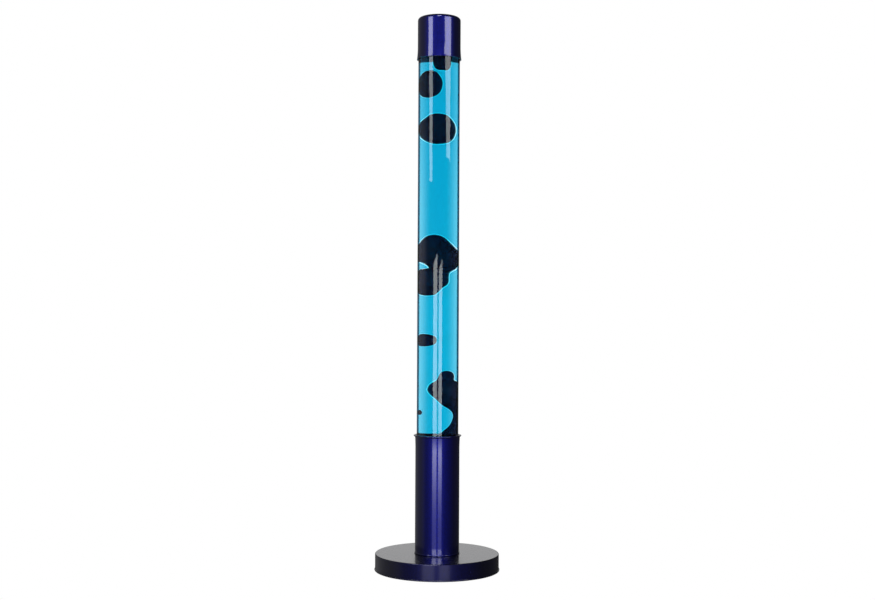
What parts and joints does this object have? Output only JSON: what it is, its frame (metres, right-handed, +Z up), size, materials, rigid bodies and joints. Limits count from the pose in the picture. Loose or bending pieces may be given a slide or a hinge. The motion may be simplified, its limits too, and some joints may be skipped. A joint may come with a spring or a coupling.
{
  "type": "lava lamp",
  "caption": "Floor-standing or desk lava lamp: weighted disc base, slim column with a reflector bulb inside, tall glass bottle of blue liquid with rising wax, and a slip-on metal cap.",
  "frame": {"origin": "centre of the feet's underside, on the lamp's axis, on the surface the lamp stands on", "axes": "+Z up along the lamp's axis; -Y front; +Y rear, where the cord gland is"},
  "size_m": [0.1718, 0.1744, 0.76],
  "materials": {
    "blue_paint": "deep metallic blue, high gloss",
    "cast_iron": "black stove enamel",
    "zinc_steel": "bright zinc plate",
    "black_rubber": "matte",
    "black_nylon": "satin",
    "white_nylon": "satin",
    "brown_wire": "satin",
    "blue_wire": "satin",
    "green_wire": "satin",
    "black_phenolic": "gloss",
    "steatite": "matte",
    "brass": "bright",
    "solder": "satin",
    "bulb_glass": "clear",
    "black_glass": "gloss",
    "bulb_mirror": "mirror",
    "tungsten": "dull",
    "silicone": "matte",
    "sleeve_plastic": "satin",
    "bottle_glass": "clear",
    "blue_liquid": "clear liquid",
    "navy_wax": "smooth",
    "spring_steel": "dull",
    "closure_metal": "satin",
    "closure_foam": "matte",
    "black_foam": "matte foam"
  },
  "bodies": {
    "lamp": {"base_shell": "blue_paint", "base_weight": "cast_iron", "bottom_plate": "zinc_steel", "bottom_plate_screws": "zinc_steel", "shell_screws": "blue_paint", "foot_1": "black_rubber", "foot_2": "black_rubber", "foot_3": "black_rubber", "foot_4": "black_rubber", "cord_gland": "black_nylon", "terminal_block": "white_nylon", "terminal_screws": "zinc_steel", "live_lead": "brown_wire", "neutral_lead": "blue_wire", "earth_lead": "green_wire", "earth_screw": "zinc_steel", "column": "blue_paint", "column_floor_plate": "zinc_steel", "threaded_tube": "zinc_steel", "lower_nut": "zinc_steel", "upper_nut": "zinc_steel", "lower_washer": "zinc_steel", "upper_washer": "zinc_steel", "lampholder_base": "black_phenolic", "lampholder_insert": "steatite", "lampholder_screw_shell": "brass", "lampholder_contact": "brass", "lampholder_skirt": "black_phenolic", "bottle_seat": "zinc_steel", "seat_pad": "silicone", "lip_sleeve": "sleeve_plastic"},
    "bulb_tip_body": {"bulb_tip": "solder"},
    "bulb": {"bulb_insulator": "black_glass", "bulb_cap": "brass", "bulb_envelope": "bulb_glass", "bulb_reflector": "bulb_mirror", "bulb_stem": "bulb_glass", "bulb_filament": "tungsten"},
    "filled_bottle": {"bottle": "bottle_glass", "closure": "closure_metal", "closure_liner": "closure_foam", "bottle_coil": "spring_steel", "wax_pool": "navy_wax", "liquid": "blue_liquid"},
    "cap": {"top_cap": "blue_paint", "cap_liner": "black_foam"},
    "wax_crown_body": {"wax_crown": "navy_wax"},
    "wax_upper_body": {"wax_upper": "navy_wax"},
    "wax_middle_body": {"wax_middle": "navy_wax"},
    "wax_pair_body": {"wax_pair": "navy_wax"},
    "wax_small_body": {"wax_small": "navy_wax"},
    "wax_droplet_body": {"wax_droplet": "navy_wax"}
  },
  "joints": [
    {"name": "bottle_lift", "type": "slide", "parent": "lamp", "child": "filled_bottle", "axis": [0, 0, 1], "range_m": [0, 0.04]},
    {"name": "cap_lift", "type": "slide", "parent": "filled_bottle", "child": "cap", "axis": [0, 0, 1], "range_m": [0, 0.06]},
    {"name": "bulb_turn", "type": "hinge", "parent": "bulb_tip_body", "child": "bulb", "pos_m": [0, 0, 0.0747], "axis": [0, 0, 1], "range_deg": [0, 1800]},
    {"name": "bulb_rise", "type": "slide", "parent": "lamp", "child": "bulb_tip_body", "axis": [0, 0, 1], "range_m": [0, 0.01411]},
    {"name": "wax_crown_rise", "type": "slide", "parent": "filled_bottle", "child": "wax_crown_body", "axis": [0, 0, 1], "range_m": [-0.001, 0.004], "deforming": ["liquid"]},
    {"name": "wax_upper_rise", "type": "slide", "parent": "filled_bottle", "child": "wax_upper_body", "axis": [0, 0, 1], "range_m": [-0.01, 0.001], "deforming": ["liquid"]},
    {"name": "wax_middle_rise", "type": "slide", "parent": "filled_bottle", "child": "wax_middle_body", "axis": [0, 0, 1], "range_m": [-0.07, 0.008], "deforming": ["liquid"]},
    {"name": "wax_pair_rise", "type": "slide", "parent": "filled_bottle", "child": "wax_pair_body", "axis": [0, 0, 1], "range_m": [-0.02, 0.045], "deforming": ["liquid"]},
    {"name": "wax_small_rise", "type": "slide", "parent": "filled_bottle", "child": "wax_small_body", "axis": [0, 0, 1], "range_m": [-0.025, 0.022], "deforming": ["liquid"]},
    {"name": "wax_droplet_rise", "type": "slide", "parent": "filled_bottle", "child": "wax_droplet_body", "axis": [0, 0, 1], "range_m": [-0.012, 0.05], "deforming": ["liquid"]}
  ],
  "couplings": [
    {"joint": "bulb_turn", "follows": "bulb_rise", "rad_per_m": 2226.5}
  ]
}
